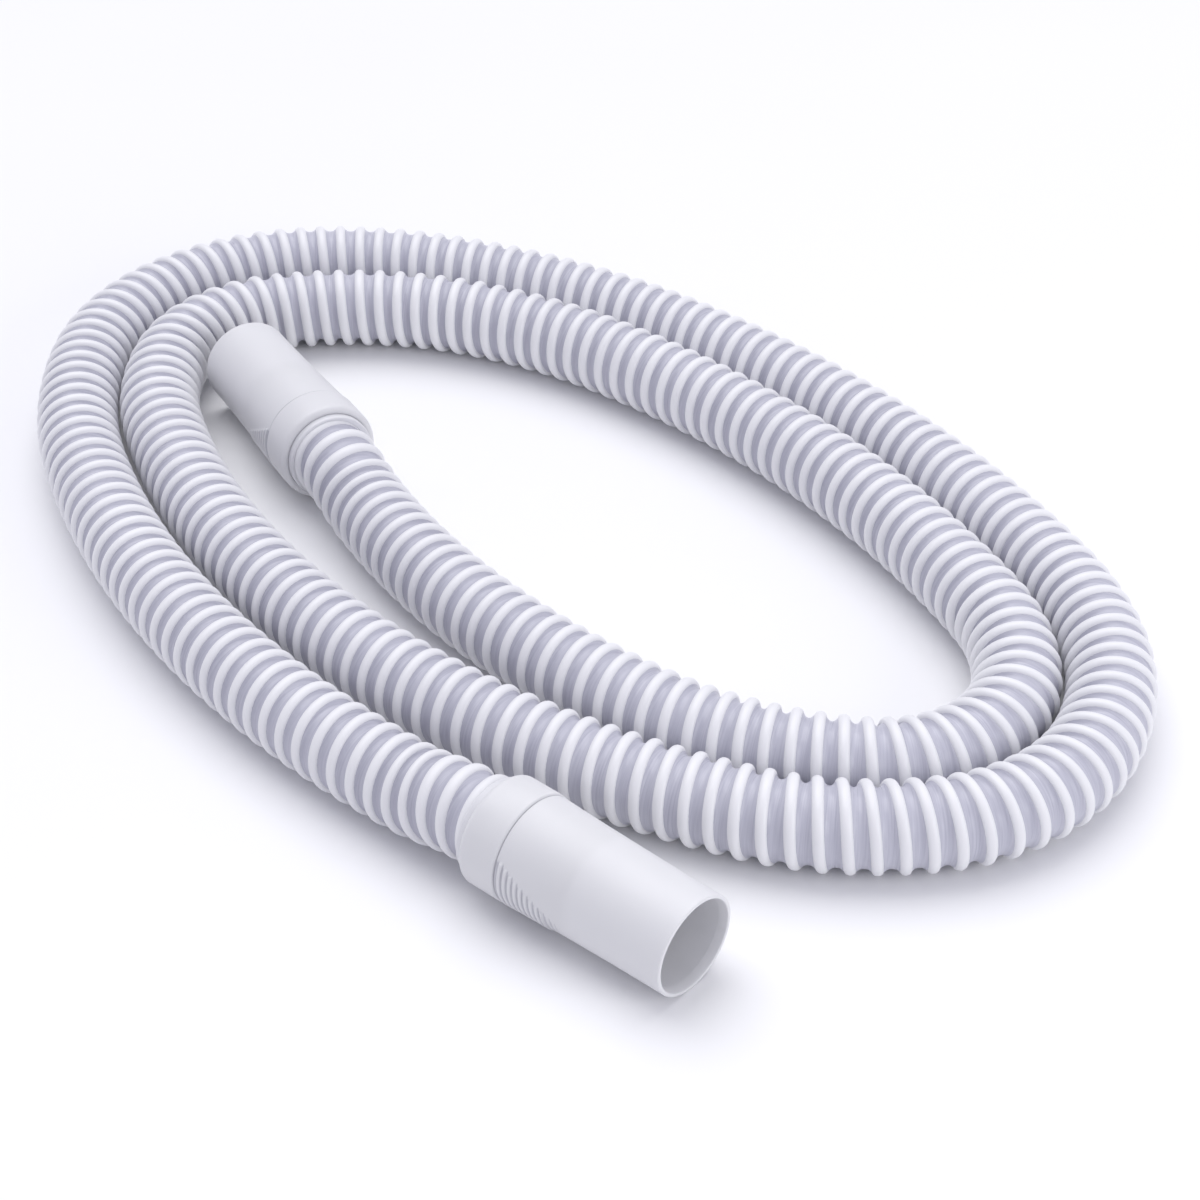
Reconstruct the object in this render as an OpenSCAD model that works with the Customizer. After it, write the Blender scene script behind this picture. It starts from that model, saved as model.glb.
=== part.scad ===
// Vacuum hose for a pool or a spa: a spiral-wound hose that lies in two loose turns,
// with the same swivel cuff on each end. Millimetres, +Z up, lying on z = 0.
// The hose runs clockwise, seen from above, from cuff A to cuff B.

/* [Hose] */
// Outside diameter over the spiral rib
rib_od = 38; // [37.6:0.1:38]
// Outside diameter of the thin wall between the turns of the rib
wall_od = 33; // [33:0.1:34]
// Inside diameter of the hose
bore_d = 32; // [31:0.1:32.2]

/* [Cuffs] */
// Length of a cuff with its collar
cuff_l = 98; // [96:0.5:98]
// Outside diameter of the cuff at its mouth
mouth_od = 42.5; // [42.3:0.1:43]
// Outside diameter of the cuff beside the collar
shoulder_od = 46; // [45.6:0.1:46]
// Outside diameter of the cuff at its waist, just beyond the grip patch
waist_od = 43.6; // [43:0.1:44]
// Inside diameter of the socket that takes a pipe or a tool
socket_d = 38.1; // [37.8:0.1:38.2]
// Depth of the parallel part of the socket
socket_l = 40; // [36:1:40]
// Outside diameter of the collar
collar_od = 47; // [46.8:0.1:47.4]
// Length of the collar
collar_l = 18.5; // [17:0.5:20]

/* [Grip] */
// Number of fine ribs in the grip patch
grip_count = 11; // [1:1:11]
// Spacing of the grip ribs along the cuff
grip_pitch = 2.6; // [2.2:0.1:2.8]
// How far a grip rib stands out of the cuff
grip_height = 0.6; // [0.3:0.1:0.6]
// Direction of the grip patch of cuff A, 0 is down and 90 is left of the way out
grip_turn_a = -60; // [-120:5:-60]
// Direction of the grip patch of cuff B
grip_turn_b = 60; // [60:5:120]

/* [Swivel] */
// Radial running clearance between a cuff and the insert on the hose
swivel_gap = 0.05; // [0.02:0.01:0.1]

/* [Hidden] */
$fn = 72;

// Every right-hand bend of the level hose between the two ends: [radius, degrees]
bends = [
    [505, 31], [230, 22], [107, 79], [174, 22], [340, 23],
    [545, 29], [168, 15], [123, 35], [91, 53], [149, 31],
    [430, 53], [128, 26], [61, 69], [182, 32], [260, 17],
    [510, 30], [97, 32], [61, 88], [180, 28], [405, 26],
];
// Middle of cuff A's hose-side rim in plan, and the way the hose leaves it
rim_a = [-21, -196];
heading_a = 139.5;
// Straight hose beyond a rim, and the level straight runs after cuff A and before cuff B
lead_l = 4;
first_run_l = 11;
last_run_l = 6;
// Radius of the two up-and-down bends that lift the hose into a cuff, and the steps of each
lift_r = 100;
lift_steps = 2;
// Sides of the hose, and how far its straight facets may cut inside a bend
sides = 12;
facet_sag = 1;
// The bends that start the second and the third length of the rib: the second passes cuff B's mouth
rib_starts = [11, 14];

// Cuff: every distance along its axis runs from the hose-side rim towards the mouth.
// Half the angle of the first grip rib, and how much less each next one spans.
edge_r = 0.8;
collar_edge_r = 1.2;
rim_r = 2.6;
waist_at = 55;
lip_l = 3;
stop_at = 51;
stop_l = 3;
mouth_d = 39.2;
chamber_d = 42;
spigot_d = 43.5;
snap_d = 44.3;
snap_at = 10;
snap_l = 2;
snap_gap = 0.05;
pass_d = bore_d + 0.5;
socket_at = stop_at + stop_l;
grip_bar_d = 1.4;
grip_half_first = 52;
grip_half_step = 3.6;

// Insert: the threaded sleeve that is screwed and glued onto the hose
neck_d = 40.5;
neck_l = 3.5;
shoulder_at = lip_l + 0.3;
hose_end_at = 44;
insert_end_at = 48;
glue_gap = 0.1;
relief_from = 14;
relief_to = 38;
relief_depth = 0.4;
seal_id = 35;
seal_od = 39.6;
seal_depth = 1.5;
seal_gap = 0.1;

// A cuff lies on its collar and its mouth, so it leans down towards the mouth
lean = atan((collar_od - mouth_od) / 2 / (cuff_l - collar_l));
foot_at = collar_l - collar_edge_r;
rim_z = foot_at * sin(lean) + (collar_od / 2 - collar_edge_r) * cos(lean) + collar_edge_r;
level_z = rib_od / 2;
// The lift into a cuff: a bend by dip, and a bend back by dip and the lean
lead_z = rim_z + lead_l * sin(lean);
dip = acos((1 + cos(lean) - (lead_z - level_z) / lift_r) / 2);
lift_reach = lift_r * (2 * sin(dip) + sin(lean));
level_reach = lead_l * cos(lean) + lift_reach;

function ahead(p, heading, d) = p + d * [cos(heading), sin(heading)];

// [x, y, heading] after part of a right-hand bend that starts at s
function bent(s, r, angle) =
    let (h = s[2], e = h - angle)
    [s[0] + r * (sin(h) - sin(e)), s[1] - r * (cos(h) - cos(e)), e];

// The starts of all the bends from number k on, and the end of the last one
function starts(s, k) =
    k == len(bends) ? [s] : concat([s], starts(bent(s, bends[k][0], bends[k][1]), k + 1));

level_start = ahead(rim_a, heading_a, level_reach + first_run_l);
level = starts([level_start[0], level_start[1], heading_a], 0);
level_end = level[len(bends)];
heading_b = level_end[2];
rim_b = ahead([level_end[0], level_end[1]], heading_b, last_run_l + level_reach);

// A station of the hose is [x, y, z, heading, pitch]: a point of its axis and the way ahead
function station(p, z, heading, pitch) = [p[0], p[1], z, heading, pitch];

// The station a turn further up or down, from s, on a bend of lift_r
function climbed(s, turn) =
    let (r = sign(turn) * lift_r, low = s[4], high = s[4] + turn)
    station(
        ahead([s[0], s[1]], s[3], r * (sin(high) - sin(low))),
        s[2] + r * (cos(low) - cos(high)), s[3], high
    );

// Out of a cuff: the end inside the insert, straight to the lead, down and level again
function end_stations(rim, heading) =
    let (
        tip = station(
            ahead(rim, heading, -hose_end_at * cos(lean)),
            rim_z - hose_end_at * sin(lean), heading, lean
        ),
        lead = station(ahead(rim, heading, lead_l * cos(lean)), lead_z, heading, lean),
        low = climbed(lead, -dip - lean)
    )
    concat(
        [tip, lead],
        [for (j = [1:lift_steps]) climbed(lead, -(dip + lean) * j / lift_steps)],
        [for (j = [1:lift_steps]) climbed(low, dip * j / lift_steps)]
    );

// The same stations walked the other way
function walked_back(list) =
    [for (k = [len(list) - 1:-1:0]) let (s = list[k]) [s[0], s[1], s[2], s[3] - 180, -s[4]]];

function facets(bend) = ceil(bend[1] / 2 / acos(1 - facet_sag / bend[0]));

bend_stations = [
    for (k = [0:len(bends) - 1])
        let (r = bends[k][0], angle = bends[k][1], n = facets(bends[k]))
        for (j = [0:n - 1])
            let (s = bent(level[k], r, angle * j / n))
            station(s, level_z, s[2], 0)
];
route = concat(
    end_stations(rim_a, heading_a),
    bend_stations,
    [station(level_end, level_z, heading_b, 0)],
    walked_back(end_stations(rim_b, heading_b + 180))
);

// The stations of one length of the rib
rib_cuts = [0, for (k = rib_starts) first_bend_station(k), len(route) - 1];
function first_bend_station(k) =
    len(end_stations(rim_a, heading_a)) + sum([for (j = [0:k - 1]) facets(bends[j])]);
function rib_route(part) = [for (k = [rib_cuts[part]:rib_cuts[part + 1]]) route[k]];

// The corners of a ring round a station, from its right-hand side upwards
function ring_points(s, d) =
    let (
        right = [sin(s[3]), -cos(s[3]), 0],
        up = [-cos(s[3]) * sin(s[4]), -sin(s[3]) * sin(s[4]), cos(s[4])]
    )
    [
        for (i = [0:sides - 1])
            let (a = 360 * i / sides)
            [s[0], s[1], s[2]] + d / 2 * (cos(a) * right + sin(a) * up)
    ];

// Length of the whole hose, from end to end inside the two inserts
function sum(v, k = 0) = k == len(v) ? 0 : v[k] + sum(v, k + 1);
bends_l = sum([for (b = bends) b[0] * b[1] * PI / 180]);
ends_l = 2 * (hose_end_at + lead_l + lift_r * (2 * dip + lean) * PI / 180);
hose_l = ends_l + first_run_l + bends_l + last_run_l;
echo(hose_l = hose_l);

// A tube swept through a list of stations: one closed solid with an open bore
module hose_tube(od, id, stations) {
    n = len(stations);
    inner = n * sides;
    points = concat(
        [for (s = stations) each ring_points(s, od)],
        [for (s = stations) each ring_points(s, id)]
    );
    skin = [
        for (k = [0:n - 2], i = [0:sides - 1])
            let (a = k * sides + i, b = k * sides + (i + 1) % sides, c = b + sides, d = a + sides)
            each [
                [a, b, c], [a, c, d],
                [a + inner, c + inner, b + inner], [a + inner, d + inner, c + inner],
            ]
    ];
    caps = [
        for (i = [0:sides - 1])
            let (a = i, b = (i + 1) % sides, e = a + (n - 1) * sides, f = b + (n - 1) * sides)
            each [
                [a, a + inner, b + inner], [a, b + inner, b],
                [e, f + inner, e + inner], [e, f, f + inner],
            ]
    ];
    polyhedron(points, concat(skin, caps));
}

module hose_wall() {
    color("lavender")
        hose_tube(wall_od, bore_d, route);
}

// One length of the spiral rib, as the plain tube that it fills down to the thin wall
module hose_rib(part) {
    color("whitesmoke")
        hose_tube(rib_od, wall_od, rib_route(part));
}

// Puts a turned piece on a cuff's axis: its rim at the origin, its mouth along +Z, +X down
module on_cuff(rim, way_out) {
    translate([rim[0], rim[1], rim_z])
        rotate([0, 90 + lean, way_out])
            children();
}

module insert() {
    color("gainsboro")
        rotate_extrude()
            insert_outline();
}

module insert_outline() {
    neck = neck_d / 2;
    barrel = chamber_d / 2 - swivel_gap;
    difference() {
        polygon([
            [rib_od / 2 + glue_gap, -neck_l], [neck, -neck_l], [neck, shoulder_at],
            [barrel, shoulder_at], [barrel, relief_from],
            [barrel - relief_depth, relief_from], [barrel - relief_depth, relief_to],
            [barrel, relief_to], [barrel, insert_end_at], [bore_d / 2, insert_end_at],
            [bore_d / 2, hose_end_at], [rib_od / 2 + glue_gap, hose_end_at],
        ]);
        translate([seal_id / 2, insert_end_at - seal_depth])
            square([(seal_od - seal_id) / 2, seal_depth + 1]);
    }
}

module seal_ring() {
    color("dimgray")
        rotate_extrude()
            translate([seal_id / 2, insert_end_at - seal_depth])
                square([(seal_od - seal_id) / 2, stop_at - seal_gap - insert_end_at + seal_depth]);
}

module cuff_outline() {
    mouth = mouth_od / 2;
    shoulder = shoulder_od / 2;
    polygon([
        [mouth_d / 2, cuff_l], [mouth - edge_r, cuff_l], [mouth, cuff_l - edge_r],
        [waist_od / 2, waist_at], [shoulder, collar_l + edge_r],
        [shoulder - edge_r, collar_l], [spigot_d / 2, collar_l],
        [spigot_d / 2, snap_at + snap_l], [snap_d / 2, snap_at + snap_l],
        [snap_d / 2, snap_at], [spigot_d / 2, snap_at],
        [spigot_d / 2, lip_l], [chamber_d / 2, lip_l], [chamber_d / 2, stop_at],
        [pass_d / 2, stop_at], [pass_d / 2, socket_at], [socket_d / 2, socket_at],
        [socket_d / 2, socket_at + socket_l],
    ]);
    translate([mouth - edge_r, cuff_l - edge_r])
        circle(r = edge_r);
    translate([shoulder - edge_r, collar_l + edge_r])
        circle(r = edge_r);
}

// The triangular patch of fine ribs, longest beside the collar
module grip_ribs(turn) {
    taper = (shoulder_od - waist_od) / 2 / (waist_at - edge_r - collar_l);
    for (k = [1:grip_count]) {
        half = grip_half_first - grip_half_step * (k - 1);
        along = k * grip_pitch;
        crest = shoulder_od / 2 - taper * (along - edge_r) + grip_height;
        rotate([0, 0, turn - half])
            rotate_extrude(angle = 2 * half)
                translate([crest - grip_bar_d / 2, collar_l + along])
                    circle(d = grip_bar_d);
    }
}

module cuff_body(grip_turn) {
    color("ghostwhite") {
        rotate_extrude()
            cuff_outline();
        grip_ribs(grip_turn);
    }
}

module collar_outline() {
    outer = collar_od / 2;
    bore = spigot_d / 2 + snap_gap;
    difference() {
        union() {
            polygon([
                [neck_d / 2 + swivel_gap, 0], [outer - rim_r, 0], [outer, rim_r],
                [outer, foot_at], [outer - collar_edge_r, collar_l], [bore, collar_l],
                [bore, lip_l], [neck_d / 2 + swivel_gap, lip_l],
            ]);
            translate([outer - rim_r, rim_r])
                intersection() {
                    circle(r = rim_r);
                    translate([0, -rim_r])
                        square(rim_r);
                }
            translate([outer - collar_edge_r, foot_at])
                circle(r = collar_edge_r);
        }
        translate([bore - 1, snap_at])
            square([1 + (snap_d - spigot_d) / 2, snap_l]);
    }
}

module collar() {
    color("ghostwhite")
        rotate_extrude()
            collar_outline();
}

hose_wall();
hose_rib(0);  // hose_rib_1
hose_rib(1);  // hose_rib_2
hose_rib(2);  // hose_rib_3
on_cuff(rim_a, heading_a + 180) insert();  // insert_a
on_cuff(rim_a, heading_a + 180) seal_ring();  // seal_ring_a
on_cuff(rim_a, heading_a + 180) cuff_body(grip_turn_a);  // cuff_body_a
on_cuff(rim_a, heading_a + 180) collar();  // collar_a
on_cuff(rim_b, heading_b) insert();  // insert_b
on_cuff(rim_b, heading_b) seal_ring();  // seal_ring_b
on_cuff(rim_b, heading_b) cuff_body(grip_turn_b);  // cuff_body_b
on_cuff(rim_b, heading_b) collar();  // collar_b
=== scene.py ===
import math

import bmesh
import bpy
import numpy as np
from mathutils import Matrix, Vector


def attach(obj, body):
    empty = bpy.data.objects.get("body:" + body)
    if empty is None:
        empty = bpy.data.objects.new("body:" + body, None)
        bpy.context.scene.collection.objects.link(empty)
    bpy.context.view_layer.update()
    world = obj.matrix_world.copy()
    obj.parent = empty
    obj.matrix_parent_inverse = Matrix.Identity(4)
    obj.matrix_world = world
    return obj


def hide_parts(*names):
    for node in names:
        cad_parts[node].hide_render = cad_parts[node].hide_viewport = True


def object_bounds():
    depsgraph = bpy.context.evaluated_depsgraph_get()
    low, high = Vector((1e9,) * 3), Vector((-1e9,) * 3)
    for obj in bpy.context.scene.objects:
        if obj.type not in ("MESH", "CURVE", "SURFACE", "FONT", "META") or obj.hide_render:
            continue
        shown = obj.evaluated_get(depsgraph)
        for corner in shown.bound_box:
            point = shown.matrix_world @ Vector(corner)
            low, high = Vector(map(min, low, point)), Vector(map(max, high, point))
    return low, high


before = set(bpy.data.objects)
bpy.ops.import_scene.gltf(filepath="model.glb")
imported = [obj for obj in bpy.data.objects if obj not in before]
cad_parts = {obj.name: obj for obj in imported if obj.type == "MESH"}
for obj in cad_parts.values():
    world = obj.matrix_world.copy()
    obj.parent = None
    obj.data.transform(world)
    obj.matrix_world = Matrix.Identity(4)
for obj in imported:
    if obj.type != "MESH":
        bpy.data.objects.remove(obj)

CAD_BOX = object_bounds()

# ---------------------------------------------------------------- sizes, in metres and degrees
MM = 0.001
FLOOR_Z = CAD_BOX[0][2]

# The hose: the same bends as part.scad, every one to the right, as (radius, degrees)
BENDS = [
    (0.505, 31), (0.230, 22), (0.107, 79), (0.174, 22), (0.340, 23),
    (0.545, 29), (0.168, 15), (0.123, 35), (0.091, 53), (0.149, 31),
    (0.430, 53), (0.128, 26), (0.061, 69), (0.182, 32), (0.260, 17),
    (0.510, 30), (0.097, 32), (0.061, 88), (0.180, 28), (0.405, 26),
]
RIM_A = (-0.021, -0.196)
HEADING_A = 139.5
LEAD = 4 * MM
FIRST_RUN = 11 * MM
LAST_RUN = 6 * MM
LIFT_R = 100 * MM
RIB_R = 19 * MM
WALL_R = 16.5 * MM
BORE_R = 16 * MM
PITCH = 10 * MM
RIB_W = 5 * MM

# The cuffs, with every distance along the axis from the hose-side rim towards the mouth
CUFF_L = 98 * MM
MOUTH_R = 21.25 * MM
SHOULDER_R = 23 * MM
COLLAR_R = 23.5 * MM
COLLAR_L = 18.5 * MM
EDGE_R = 0.8 * MM
COLLAR_EDGE_R = 1.2 * MM
RIM_ROUND = 2.6 * MM
WAIST_R = 21.8 * MM
WAIST_AT = 55 * MM
LIP_L = 3 * MM
SPIGOT_R = 21.75 * MM
CHAMBER_R = 21 * MM
STOP_AT = 51 * MM
STOP_L = 3 * MM
PASS_R = 16.25 * MM
SOCKET_R = 19.05 * MM
SOCKET_END = 94 * MM
MOUTH_BORE_R = 19.6 * MM
NECK_R = 20.25 * MM
NECK_L = 3.5 * MM
NECK_LIP = 1.2 * MM
SWIVEL_GAP = 0.05 * MM
HOSE_END = 44 * MM
INSERT_END = 48 * MM
INSERT_BORE_R = 19.1 * MM
SHOULDER_AT = 3.3 * MM
SEAL_IN_R = 17.5 * MM
SEAL_OUT_R = 19.8 * MM
SEAL_DEPTH = 1.5 * MM

# The grip patch: half the angle of its first rib, and how much less each next one has
GRIP_COUNT = 11
GRIP_PITCH = 2.6 * MM
GRIP_HEIGHT = 0.6 * MM
GRIP_HALF = 52
GRIP_HALF_STEP = 3.6
GRIP_END = COLLAR_L + (GRIP_COUNT + 1) * GRIP_PITCH
# Its direction round each cuff: 0 is down and 90 is left of the way out
GRIP_TURN = {"a": -60, "b": 60}
# The share of its pitch that a rib fills, the angle that its ends fade over, and how dark
# the painted shade is in the gaps between the ribs and along the fine creases beside the collar
GRIP_FILL = 0.72
GRIP_FADE = math.radians(2.5)
GRIP_SHADE = 0.8
CREASE_W = 0.5 * MM
CREASE_SHADE = 0.35

# A cuff lies on its collar and its mouth, so it leans down towards the mouth
LEAN = math.atan((COLLAR_R - MOUTH_R) / (CUFF_L - COLLAR_L))
FOOT_AT = COLLAR_L - COLLAR_EDGE_R
RIM_Z = FOOT_AT * math.sin(LEAN) + (COLLAR_R - COLLAR_EDGE_R) * math.cos(LEAN) + COLLAR_EDGE_R
LEAD_Z = RIM_Z + LEAD * math.sin(LEAN)
DIP = math.acos((1 + math.cos(LEAN) - (LEAD_Z - RIB_R) / LIFT_R) / 2)


# ---------------------------------------------------------------- camera
def make_camera():
    data = bpy.data.cameras.new("camera")
    data.sensor_width = 36
    data.lens = 83.8
    cam = bpy.data.objects.new("camera", data)
    cam.location = (0.0185, -1.015, 0.7274)
    cam.rotation_euler = (math.radians(54), 0, 0)
    bpy.context.scene.collection.objects.link(cam)
    bpy.context.scene.camera = cam


# ---------------------------------------------------------------- the hose's route
def route_knots():
    """Lengths along the hose, with the heading and pitch there.

    Both change evenly between two knots.
    """
    knots = [(0, math.radians(HEADING_A), LEAN)]

    def go(length, turn=0.0, climb=0.0):
        s, h, p = knots[-1]
        knots.append((s + length, h + turn, p + climb))

    go(HOSE_END + LEAD)
    go(LIFT_R * (DIP + LEAN), climb=-(DIP + LEAN))
    go(LIFT_R * DIP, climb=DIP)
    go(FIRST_RUN)
    for r, degrees in BENDS:
        go(r * math.radians(degrees), turn=-math.radians(degrees))
    go(LAST_RUN)
    go(LIFT_R * DIP, climb=DIP)
    go(LIFT_R * (DIP + LEAN), climb=-(DIP + LEAN))
    go(HOSE_END + LEAD)
    return np.array(knots)


class Route:
    """The hose's centreline, with a point, directions and a bend at any length along it."""

    STEP = 0.5 * MM

    def __init__(self):
        knots = route_knots()
        self.length = float(knots[-1, 0])
        self.s = np.linspace(0, self.length, int(self.length / self.STEP) + 1)
        self.heading = np.interp(self.s, knots[:, 0], knots[:, 1])
        self.pitch = np.interp(self.s, knots[:, 0], knots[:, 2])
        ahead = self.forward(self.heading, self.pitch)
        step = (ahead[1:] + ahead[:-1]) / 2 * np.diff(self.s)[:, None]
        start = np.array([RIM_A[0], RIM_A[1], RIM_Z]) - HOSE_END * ahead[0]
        self.point = start + np.vstack([np.zeros(3), np.cumsum(step, axis=0)])
        self.bend = np.gradient(self.heading, self.s)

    @staticmethod
    def forward(h, p):
        return np.stack([np.cos(h) * np.cos(p), np.sin(h) * np.cos(p), np.sin(p)], axis=-1)

    def at(self, s):
        """Point, up and right at lengths s, and the bend to the left per metre."""
        h = np.interp(s, self.s, self.heading)
        p = np.interp(s, self.s, self.pitch)
        point = np.stack([np.interp(s, self.s, self.point[:, k]) for k in range(3)], axis=-1)
        up = np.stack([-np.cos(h) * np.sin(p), -np.sin(h) * np.sin(p), np.cos(p)], axis=-1)
        right = np.stack([np.sin(h), -np.cos(h), np.zeros_like(h)], axis=-1)
        return point, up, right, np.interp(s, self.s, self.bend)


# Wave lengths of the unevenness
WANDER_WAVES = (0.023, 0.041, 0.087, 0.19)


def wander(s, seed, size):
    """A smooth, small, fixed unevenness along the hose."""
    rng = np.random.default_rng(seed)
    total = np.zeros_like(s)
    for wave in WANDER_WAVES:
        total += np.sin(2 * np.pi * (s / (wave * rng.uniform(0.85, 1.15)) + rng.uniform()))
    return size * total / len(WANDER_WAVES)


# ---------------------------------------------------------------- mesh helpers
def mesh_object(name, points, faces, uvs=None):
    mesh = bpy.data.meshes.new(name)
    mesh.from_pydata(np.asarray(points).tolist(), [], faces)
    mesh.validate()
    mesh.polygons.foreach_set("use_smooth", np.ones(len(mesh.polygons), dtype=bool))
    if uvs is not None:
        layer = mesh.uv_layers.new(name="UVMap")
        loops = np.empty(len(mesh.loops), dtype=np.int64)
        mesh.loops.foreach_get("vertex_index", loops)
        layer.data.foreach_set("uv", np.asarray(uvs, dtype=np.float32)[loops].ravel())
    obj = bpy.data.objects.new(name, mesh)
    bpy.context.scene.collection.objects.link(obj)
    return obj


def grid_faces(rows, cols, closed=False):
    """Quads of a grid of points, rows by cols; closed joins the last column to the first."""
    width = cols if closed else cols - 1
    i = np.repeat(np.arange(rows - 1), width)
    j = np.tile(np.arange(width), rows - 1)
    k = (j + 1) % cols
    return np.stack([i * cols + j, i * cols + k, (i + 1) * cols + k, (i + 1) * cols + j], axis=1)


# ---------------------------------------------------------------- the hose's pieces
# Steps in a turn, and points across a strip of film and across the rib's crown
WALL_STEPS = 40
WALL_ACROSS = 10
RIB_STEPS = 48
RIB_ARC = 13
# How the film rises beside the rib
FILLET_H = 0.9 * MM
FILLET_W = 0.55 * MM
# Where the film starts under the rib, from the rib's middle and as a share of the pitch
TUCK = RIB_W / 2.6 / PITCH
# How much the film's points crowd beside the rib
CROWDING = 0.07
# How far a bend can shorten or stretch the free film between two turns, as shares of it
CHORD_LEAST = 0.2
CHORD_MOST = 1.6
# Spare film between two turns of the straight hose, the least spare, and the deepest sag
SLACK = 0.12 * MM
LEAST_SLACK = 0.03 * MM
DEEPEST_SAG = 1.7 * MM
# The rib's crown is a little fuller than a half circle, and its root is sunk into the film
RIB_FULLNESS = 0.85
RIB_ROOT = 0.4 * MM
# The small unevenness that film and rib share
WANDER_SEED = 3
WANDER = 0.2 * MM


def make_film(route):
    """The thin wall: one strip that winds with the rib and sags inwards between its turns."""
    turns = int(route.length / PITCH) - 1
    rows = turns * WALL_STEPS + 1
    k = np.arange(rows)[:, None]
    # Rows of points across the strip, closer together beside the rib
    w = np.linspace(0, 1, WALL_ACROSS + 1)[None, :]
    w = w - CROWDING * np.sin(2 * np.pi * w)
    w = TUCK + w * (1 - 2 * TUCK)
    angle = 2 * np.pi * k / WALL_STEPS + 0 * w
    s = PITCH * (k / WALL_STEPS + w)
    s = np.clip(s + wander(s, WANDER_SEED, WANDER), 0, route.length)
    point, up, right, bend = route.at(s)
    out = np.cos(angle)[..., None] * up + np.sin(angle)[..., None] * right
    inner_side = -bend * np.sin(angle)
    free = PITCH - RIB_W
    chord = free - PITCH * WALL_R * inner_side
    chord = np.clip(chord, CHORD_LEAST * free, CHORD_MOST * free)
    slack = np.clip(free + SLACK - chord, LEAST_SLACK, None)
    sag = np.clip(np.sqrt(3 * chord * slack / 8), 0, DEEPEST_SAG)
    edge = RIB_W / 2 / PITCH
    across = np.clip((w - edge) / (1 - 2 * edge), 0, 1)
    beside = np.minimum(across, 1 - across) * free
    radius = WALL_R - sag * np.sin(np.pi * across) + FILLET_H * np.exp(-beside / FILLET_W)
    points = (point + radius[..., None] * out).reshape(-1, 3)
    faces = grid_faces(rows, WALL_ACROSS + 1).tolist()
    uvs = np.stack([(k / WALL_STEPS + 0 * w) * 2 * np.pi * WALL_R, s], axis=-1).reshape(-1, 2)
    return mesh_object("hose_film", points, faces, uvs)


def make_rib(route):
    """The half-round rib: one right-handed spiral from end to end."""
    rows = int((route.length / PITCH - 1) * RIB_STEPS) + 1
    k = np.arange(rows)[:, None]
    arc = np.linspace(0, np.pi, RIB_ARC)
    along = np.concatenate([-np.cos(arc) * RIB_W / 2, [RIB_W / 2, -RIB_W / 2]])[None, :]
    crown = np.sin(arc) ** RIB_FULLNESS * (RIB_R - WALL_R)
    height = np.concatenate([crown, [-RIB_ROOT, -RIB_ROOT]])[None, :]
    angle = 2 * np.pi * k / RIB_STEPS + 0 * along
    middle = PITCH * k / RIB_STEPS
    middle = middle + wander(middle, WANDER_SEED, WANDER) + 0 * along
    point, up, right, bend = route.at(np.clip(middle + along, 0, route.length))
    out = np.cos(angle)[..., None] * up + np.sin(angle)[..., None] * right
    # The rib keeps its width where the hose's surface is shortened or stretched by a bend
    stretch = 1 + bend * np.sin(angle) * WALL_R
    point = route.at(np.clip(middle + along / stretch, 0, route.length))[0]
    points = (point + (WALL_R + height)[..., None] * out).reshape(-1, 3)
    cols = along.shape[1]
    faces = grid_faces(rows, cols, closed=True).tolist()
    faces.append(list(range(cols)))
    faces.append([(rows - 1) * cols + j for j in reversed(range(cols))])
    u = (k / RIB_STEPS + 0 * along) * 2 * np.pi * RIB_R
    v = np.linspace(0, cols * MM, cols)[None, :] + 0 * u
    uvs = np.stack([u, v], axis=-1).reshape(-1, 2)
    return mesh_object("hose_spiral_rib", points, faces, uvs)


# ---------------------------------------------------------------- turned pieces
# Steps of each rounded edge, the steps of a lathe, and the steps of one with grip ribs
ARC_STEPS = 6
LATHE_STEPS = 160
GRIP_LATHE_STEPS = 256
# An edge that turns by more than this is left sharp
SHARP_TURN = math.radians(32)


def cuff_axes(end):
    """The rim's middle, and the axes that a cuff's own down, left and way out lie along."""
    rim = np.array(end["rim"])
    h = end["way_out"]
    out = Route.forward(np.array(h), np.array(-LEAN))
    down = -np.array([math.sin(LEAN) * math.cos(h), math.sin(LEAN) * math.sin(h), math.cos(LEAN)])
    left = np.array([-math.sin(h), math.cos(h), 0])
    return rim, down, left, out


def rounded(corners):
    """A closed outline from corners (radius, along, rounding), with arcs at the rounded ones."""
    outline = []
    n = len(corners)
    for i in range(n):
        p = np.array(corners[i][:2], dtype=float)
        r = corners[i][2]
        a = np.array(corners[i - 1][:2]) - p
        b = np.array(corners[(i + 1) % n][:2]) - p
        if r <= 0:
            outline.append(p)
            continue
        a /= np.linalg.norm(a)
        b /= np.linalg.norm(b)
        half = math.acos(np.clip(a @ b, -1, 1)) / 2
        centre = p + (a + b) / np.linalg.norm(a + b) * r / math.sin(half)
        first = p + a * r / math.tan(half) - centre
        last = p + b * r / math.tan(half) - centre
        turn = math.pi - 2 * half
        for j in range(ARC_STEPS + 1):
            t = j / ARC_STEPS
            spoke = np.sin((1 - t) * turn) * first + np.sin(t * turn) * last
            outline.append(centre + spoke / math.sin(turn))
    return outline


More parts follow.
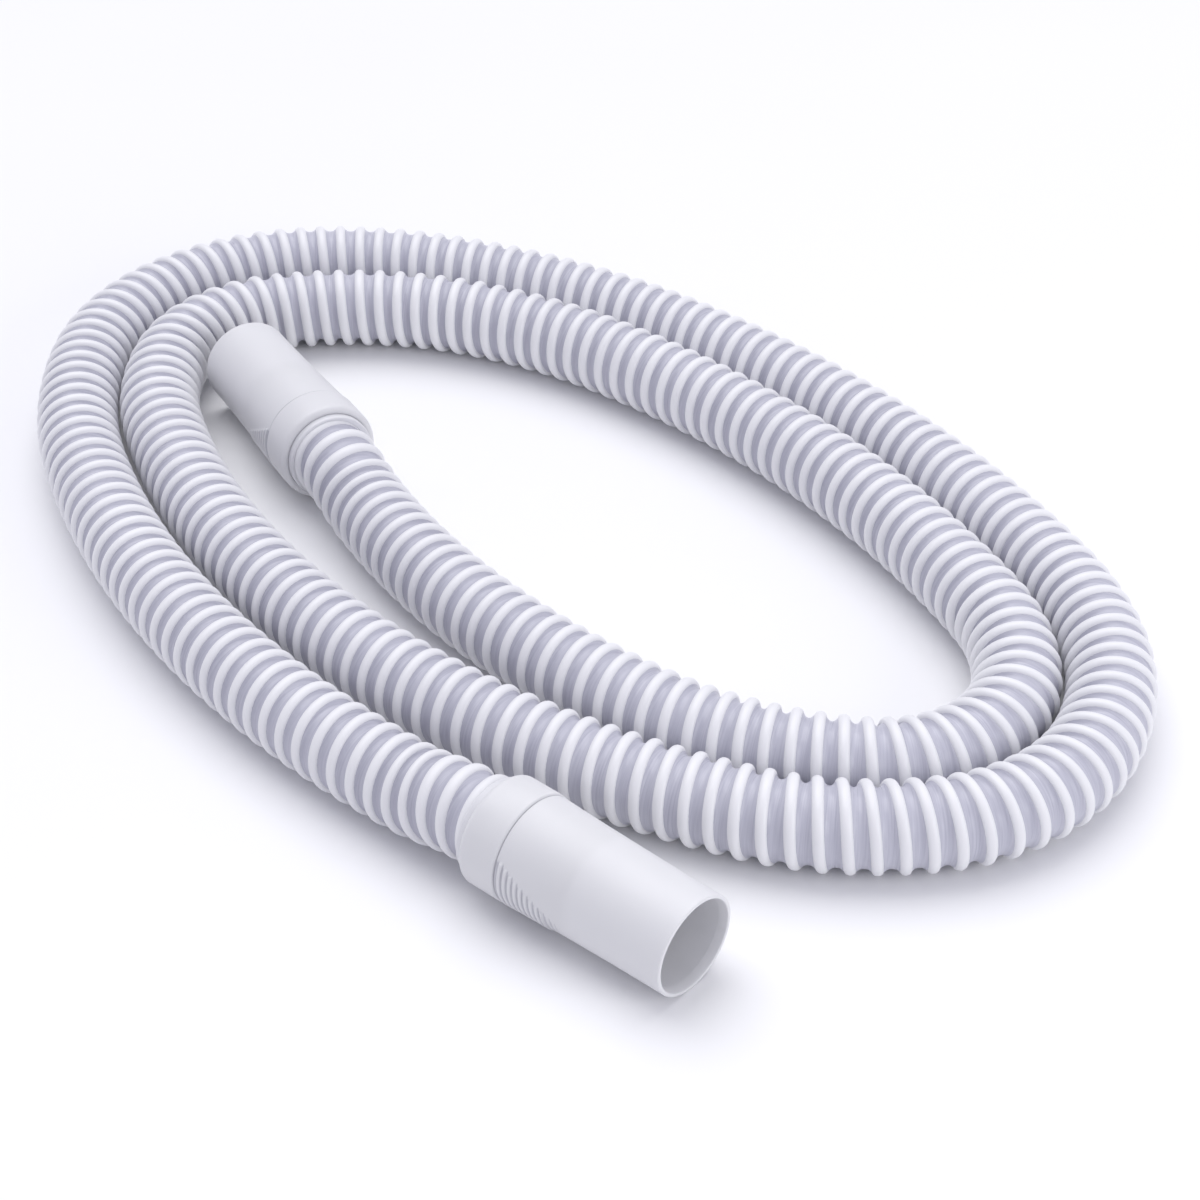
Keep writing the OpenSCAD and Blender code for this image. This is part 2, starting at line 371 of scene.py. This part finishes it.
def lathe(name, end, outline, segments=LATHE_STEPS, relief=None, shade=None):
    """Turns a closed outline of (radius, along) points round a cuff's axis.

    relief adds to the radius, and shade says how much painted shade a point gets, darkest in the
    grooves and creases, from 0 to 1.
    """
    rim, down, left, out = cuff_axes(end)
    outline = np.array(outline)
    angle = np.linspace(0, 2 * np.pi, segments, endpoint=False)
    r = np.repeat(outline[:, :1], segments, axis=1)
    along = np.repeat(outline[:, 1:], segments, axis=1)
    if relief is not None:
        r = r + relief(r, along, angle[None, :] + 0 * r)
    points = (
        rim
        + along[..., None] * out
        + (r * np.cos(angle))[..., None] * down
        + (r * np.sin(angle))[..., None] * left
    )
    rows = len(outline) + 1
    faces = grid_faces(rows, segments, closed=True) % (len(outline) * segments)
    obj = mesh_object(name, points.reshape(-1, 3), faces.tolist())
    crease(obj)
    # Painted shade, kept on the mesh as a value from 0 to 1 for the material to darken by
    painted_groove_shade = np.zeros_like(r) if shade is None else shade(r, along, angle[None, :] + 0 * r)
    layer = obj.data.attributes.new("painted_groove_shade", "FLOAT", "POINT")
    layer.data.foreach_set("value", np.clip(painted_groove_shade, 0, 1).astype(np.float32).ravel())
    return obj


def crease(obj):
    """Marks the edges that the surface turns sharply at."""
    bm = bmesh.new()
    bm.from_mesh(obj.data)
    bmesh.ops.recalc_face_normals(bm, faces=bm.faces)
    for edge in bm.edges:
        if len(edge.link_faces) == 2 and edge.calc_face_angle(0) > SHARP_TURN:
            edge.smooth = False
    bm.to_mesh(obj.data)
    bm.free()


def grip_pattern(turn, along, angle):
    """The triangular patch of grip ribs: how near a crest a point is, and how far in the patch."""
    away = np.abs((angle - math.radians(turn) + np.pi) % (2 * np.pi) - np.pi)
    number = np.clip(np.round((along - COLLAR_L) / GRIP_PITCH), 1, GRIP_COUNT)
    half = np.radians(GRIP_HALF - GRIP_HALF_STEP * (number - 1))
    across = np.abs(along - COLLAR_L - number * GRIP_PITCH) / (GRIP_PITCH / 2)
    ridge = np.sqrt(np.clip(1 - (across / GRIP_FILL) ** 2, 0, 1))
    inside = np.clip((half - away) / GRIP_FADE + 0.5, 0, 1)
    return ridge, inside * inside * (3 - 2 * inside)


def in_crease(along, middle):
    """How near a point is to a fine crease, from 0 to 1."""
    return np.exp(-((along - middle) / CREASE_W) ** 2)


def body_relief(turn):
    """The grip ribs of a cuff's outer side."""
    def relief(r, along, angle):
        ridge, inside = grip_pattern(turn, along, angle)
        return GRIP_HEIGHT * ridge * inside * (r > SPIGOT_R + EDGE_R / 2)

    return relief


def body_shade(turn):
    """Painted shade in the gaps between the grip ribs, to just beyond the last one, and along the
    crease by the collar.
    """
    def shade(r, along, angle):
        ridge, inside = grip_pattern(turn, along, angle)
        patch = (GRIP_COUNT + 0.4) * GRIP_PITCH
        between = np.where(np.abs(along - COLLAR_L) < patch, 1 - ridge, 0)
        return GRIP_SHADE * between * inside + CREASE_SHADE * in_crease(along, COLLAR_L)

    return shade


def side_radius(s):
    """Radius of a cuff's outside: it narrows fast by the collar and hardly by the mouth."""
    t = np.clip((CUFF_L - s) / (CUFF_L - COLLAR_L), 0, 1)
    middle = (CUFF_L - WAIST_AT) / (CUFF_L - COLLAR_L)
    hollow = (WAIST_R - MOUTH_R) - middle * (SHOULDER_R - MOUTH_R)
    return MOUTH_R + t * (SHOULDER_R - MOUTH_R) + hollow * t * (1 - t) / (middle * (1 - middle))


# Where the long side's own rows start and end beside the rounded edges, and how many there are
SIDE_FROM_MOUTH = 1.2 * MM
SIDE_FROM_COLLAR = 1.0 * MM
PLAIN_ROWS = 24
GRIP_ROWS = 190


def make_cuff_body(key, end):
    corners = [
        (MOUTH_BORE_R, CUFF_L, 0.6 * MM), (MOUTH_R, CUFF_L, EDGE_R),
        (SHOULDER_R, COLLAR_L, EDGE_R), (SPIGOT_R, COLLAR_L, 0), (SPIGOT_R, LIP_L, 0),
        (CHAMBER_R, LIP_L, 0), (CHAMBER_R, STOP_AT, 0), (PASS_R, STOP_AT, 0),
        (PASS_R, STOP_AT + STOP_L, 0.5 * MM), (SOCKET_R, STOP_AT + STOP_L, 0.5 * MM),
        (SOCKET_R, SOCKET_END, 3 * MM),
    ]
    outline = rounded(corners)
    # The long outer side: a slightly hollow taper, with rows close enough for the grip ribs
    widest = max(p[0] for p in outline if p[1] > WAIST_AT)
    mouth_end = next(i for i, p in enumerate(outline) if p[0] == widest)
    plain_rows = np.linspace(CUFF_L - SIDE_FROM_MOUTH, GRIP_END, PLAIN_ROWS)[:-1]
    grip_rows = np.linspace(GRIP_END, COLLAR_L + SIDE_FROM_COLLAR, GRIP_ROWS)
    side = [(side_radius(s), s) for s in (*plain_rows, *grip_rows)]
    outline = outline[:mouth_end + 1] + side + outline[mouth_end + 1:]
    turn = GRIP_TURN[key]
    return lathe(
        "cuff_shell_" + key, end, outline, GRIP_LATHE_STEPS, body_relief(turn), body_shade(turn)
    )


def make_collar(key, end):
    corners = [
        (NECK_R + SWIVEL_GAP, 0, 0.4 * MM), (COLLAR_R, 0, RIM_ROUND),
        (COLLAR_R, COLLAR_L, COLLAR_EDGE_R), (SPIGOT_R, COLLAR_L, 0),
        (SPIGOT_R, LIP_L, 0), (NECK_R + SWIVEL_GAP, LIP_L, 0),
    ]

    # Painted shade along the fine creases at the collar's end and beside the neck
    def shade(r, along, angle):
        by_neck = in_crease(along, 0) * (r < NECK_R + 2 * CREASE_W)
        return CREASE_SHADE * (in_crease(along, COLLAR_L) + by_neck)

    return lathe("cuff_collar_" + key, end, rounded(corners), shade=shade)


def make_insert(key, end):
    barrel = CHAMBER_R - SWIVEL_GAP
    corners = [
        (INSERT_BORE_R, 0, 0), (WALL_R, -NECK_L + NECK_LIP, 0),
        (INSERT_BORE_R - NECK_LIP, -NECK_L, 0.4 * MM), (NECK_R, -NECK_L, 0.8 * MM),
        (NECK_R, SHOULDER_AT, 0), (barrel, SHOULDER_AT, 0.2 * MM),
        (barrel, INSERT_END, 0), (SEAL_OUT_R, INSERT_END, 0),
        (SEAL_OUT_R, INSERT_END - SEAL_DEPTH, 0), (SEAL_IN_R, INSERT_END - SEAL_DEPTH, 0),
        (SEAL_IN_R, INSERT_END, 0), (BORE_R, INSERT_END, 0.3 * MM),
        (BORE_R, HOSE_END, 0), (INSERT_BORE_R, HOSE_END, 0),
    ]
    return lathe("swivel_insert_" + key, end, rounded(corners))


# ---------------------------------------------------------------- materials
class Nodes:
    """A short way to write a node material."""

    def __init__(self, name):
        self.mat = bpy.data.materials.new(name)
        self.mat.use_nodes = True
        self.tree = self.mat.node_tree
        self.shader = self.tree.nodes["Principled BSDF"]

    def add(self, kind, **values):
        node = self.tree.nodes.new(kind)
        for key, value in values.items():
            if hasattr(node, key):
                setattr(node, key, value)
            else:
                node.inputs[key.replace("_", " ")].default_value = value
        return node

    def link(self, a, b):
        self.tree.links.new(a, b)

    def noise(self, scale, detail, rough, vector=None, stretch=None):
        """Noise over the object, or over the given coordinates, stretched if asked."""
        source = vector or self.add("ShaderNodeTexCoord").outputs["Object"]
        if stretch is not None:
            mapping = self.add("ShaderNodeMapping")
            mapping.inputs["Scale"].default_value = stretch
            self.link(source, mapping.inputs["Vector"])
            source = mapping.outputs["Vector"]
        node = self.add("ShaderNodeTexNoise")
        node.inputs["Scale"].default_value = scale
        node.inputs["Detail"].default_value = detail
        node.inputs["Roughness"].default_value = rough
        self.link(source, node.inputs["Vector"])
        return node.outputs["Fac"]

    def ramp(self, factor, stops):
        node = self.add("ShaderNodeValToRGB")
        ramp = node.color_ramp
        while len(ramp.elements) < len(stops):
            ramp.elements.new(0.5)
        for element, (place, colour) in zip(ramp.elements, stops):
            element.position = place
            element.color = (*colour, 1)
        self.link(factor, node.inputs["Fac"])
        return node.outputs["Color"]

    def span(self, factor, low, high, out_low, out_high):
        node = self.add("ShaderNodeMapRange")
        names = ("From Min", "From Max", "To Min", "To Max")
        for name, value in zip(names, (low, high, out_low, out_high)):
            node.inputs[name].default_value = value
        self.link(factor, node.inputs["Value"])
        return node.outputs["Result"]

    def multiply(self, amount, a, b):
        """Colour a darkened by colour b, by an amount from 0 to 1."""
        node = self.add("ShaderNodeMix", data_type="RGBA", blend_type="MULTIPLY")
        node.inputs["Factor"].default_value = amount
        self.link(a, node.inputs["A"])
        self.link(b, node.inputs["B"])
        return node.outputs["Result"]

    def bump(self, height, distance, strength=1.0, normal=None):
        node = self.add("ShaderNodeBump")
        node.inputs["Strength"].default_value = strength
        node.inputs["Distance"].default_value = distance
        self.link(height, node.inputs["Height"])
        if normal is not None:
            self.link(normal, node.inputs["Normal"])
        return node.outputs["Normal"]

    def finish(self, colour, roughness, normal, **values):
        self.link(colour, self.shader.inputs["Base Color"])
        self.link(roughness, self.shader.inputs["Roughness"])
        self.link(normal, self.shader.inputs["Normal"])
        self.shader.inputs["Subsurface Radius"].default_value = (1, 1, 1)
        for key, value in values.items():
            self.shader.inputs[key.replace("_", " ")].default_value = value
        return self.mat


def rib_material():
    n = Nodes("rib_plastic")
    uv = n.add("ShaderNodeTexCoord").outputs["UV"]
    cloud = n.noise(14, 4, 0.55)
    draw = n.noise(900, 2, 0.5, vector=uv, stretch=(0.03, 1, 1))
    colour = n.ramp(cloud, [(0.3, (0.80, 0.80, 0.82)), (0.7, (0.85, 0.85, 0.865))])
    rough = n.span(draw, 0.3, 0.7, 0.34, 0.46)
    normal = n.bump(draw, 0.06 * MM, 0.5)
    return n.finish(colour, rough, normal, IOR=1.5, Subsurface_Weight=0.12, Subsurface_Scale=0.002)


def film_material():
    n = Nodes("film_plastic")
    uv = n.add("ShaderNodeTexCoord").outputs["UV"]
    cloud = n.noise(10, 3, 0.5)
    streak = n.noise(1500, 3, 0.6, vector=uv, stretch=(0.02, 1, 1))
    ripple = n.noise(160, 3, 0.5, vector=uv, stretch=(0.35, 1, 1))
    base = n.ramp(cloud, [(0.3, (0.54, 0.54, 0.61)), (0.7, (0.61, 0.61, 0.68))])
    lines = n.ramp(streak, [(0.35, (0.72, 0.72, 0.77)), (0.65, (1, 1, 1))])
    colour = n.multiply(0.55, base, lines)
    rough = n.span(streak, 0.3, 0.7, 0.26, 0.40)
    normal = n.bump(ripple, 0.25 * MM, 0.5)
    normal = n.bump(streak, 0.05 * MM, 0.5, normal)
    return n.finish(colour, rough, normal, IOR=1.46, Subsurface_Weight=0.3, Subsurface_Scale=0.003)


def moulded_material(name, low, high):
    n = Nodes(name)
    cloud = n.noise(9, 4, 0.55)
    fine = n.noise(2600, 2, 0.6)
    flow = n.noise(60, 4, 0.6)
    clean = n.ramp(cloud, [(0.3, low), (0.7, high)])
    # Painted shade: the surface is darkened where the mesh marks grooves and creases
    painted_groove_shade = n.add("ShaderNodeAttribute", attribute_name="painted_groove_shade").outputs["Fac"]
    painted_shade_tint = n.ramp(painted_groove_shade, [(0.0, (1, 1, 1)), (1.0, (0.66, 0.66, 0.70))])
    colour = n.multiply(1, clean, painted_shade_tint)
    rough = n.span(flow, 0.3, 0.7, 0.36, 0.48)
    normal = n.bump(flow, 0.05 * MM, 0.35)
    normal = n.bump(fine, 0.03 * MM, 0.35, normal)
    return n.finish(colour, rough, normal, IOR=1.5, Subsurface_Weight=0.25, Subsurface_Scale=0.004)


def rubber_material():
    n = Nodes("seal_rubber")
    fine = n.noise(1800, 3, 0.6)
    colour = n.ramp(fine, [(0.3, (0.012, 0.012, 0.013)), (0.7, (0.03, 0.03, 0.032))])
    return n.finish(colour, n.span(fine, 0.3, 0.7, 0.6, 0.8), n.bump(fine, 0.03 * MM, 0.5))


# ---------------------------------------------------------------- studio
FLOOR_HALF = 20


def make_floor():
    corners = ((-1, -1), (1, -1), (1, 1), (-1, 1))
    points = [(FLOOR_HALF * x, FLOOR_HALF * y, FLOOR_Z) for x, y in corners]
    floor = mesh_object("floor", points, [(0, 1, 2, 3)])
    n = Nodes("floor_white")
    cloud = n.noise(2, 2, 0.5)
    colour = n.ramp(cloud, [(0.3, (0.90, 0.90, 0.905)), (0.7, (0.92, 0.92, 0.925))])
    rough = n.span(cloud, 0, 1, 0.8, 0.9)
    floor.data.materials.append(n.finish(colour, rough, n.bump(cloud, 0.01 * MM)))


def aim(obj, place, target):
    """Puts a light somewhere and turns it to face a target."""
    obj.location = place
    look = np.array(target) - np.array(place)
    tilt = math.atan2(math.hypot(look[0], look[1]), -look[2])
    obj.rotation_euler = (tilt, 0, math.atan2(look[0], -look[1]) + math.pi)
    bpy.context.scene.collection.objects.link(obj)


def make_studio():
    make_floor()
    world = bpy.data.worlds.new("studio")
    world.use_nodes = True
    background = world.node_tree.nodes["Background"]
    background.inputs["Color"].default_value = (0.88, 0.88, 1.0, 1)
    background.inputs["Strength"].default_value = 0.62
    bpy.context.scene.world = world
    key = bpy.data.lights.new("key", "SUN")
    key.energy = 1.65
    key.angle = math.radians(60)
    aim(bpy.data.objects.new("key", key), (-0.2, 0.8, 1.9), (0, 0, 0))
    front = bpy.data.lights.new("front", "AREA")
    front.energy = 9
    front.size = 1.0
    aim(bpy.data.objects.new("front", front), (1.5, -1.2, 0.8), (0, 0, 0))
    bpy.context.scene.view_settings.view_transform = "Standard"


# ---------------------------------------------------------------- the whole
make_camera()
route = Route()
way_b = route.forward(route.heading[-1], route.pitch[-1])
rim_b = route.point[-1] - HOSE_END * way_b
ENDS = {
    "a": {"rim": (RIM_A[0], RIM_A[1], RIM_Z), "way_out": math.radians(HEADING_A) + math.pi},
    "b": {"rim": tuple(rim_b), "way_out": float(route.heading[-1])},
}

film = make_film(route)
rib = make_rib(route)
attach(film, "hose")
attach(rib, "hose")
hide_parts("hose_wall")
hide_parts("hose_rib_1", "hose_rib_2", "hose_rib_3")
film.data.materials.append(film_material())
rib.data.materials.append(rib_material())

shell_plastic = moulded_material("cuff_plastic", (0.72, 0.72, 0.735), (0.76, 0.76, 0.77))
insert_plastic = moulded_material("insert_plastic", (0.73, 0.73, 0.755), (0.77, 0.77, 0.79))
rubber = rubber_material()
for key, end in ENDS.items():
    parts = {
        "cuff_body_": make_cuff_body(key, end),
        "collar_": make_collar(key, end),
        "insert_": make_insert(key, end),
    }
    for node, piece in parts.items():
        inner = node == "insert_"
        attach(piece, "hose" if inner else "cuff_" + key)
        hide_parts(node + key)
        piece.data.materials.append(insert_plastic if inner else shell_plastic)
    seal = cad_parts["seal_ring_" + key]
    for material_slot in seal.material_slots:
        material_slot.material = rubber

make_studio()
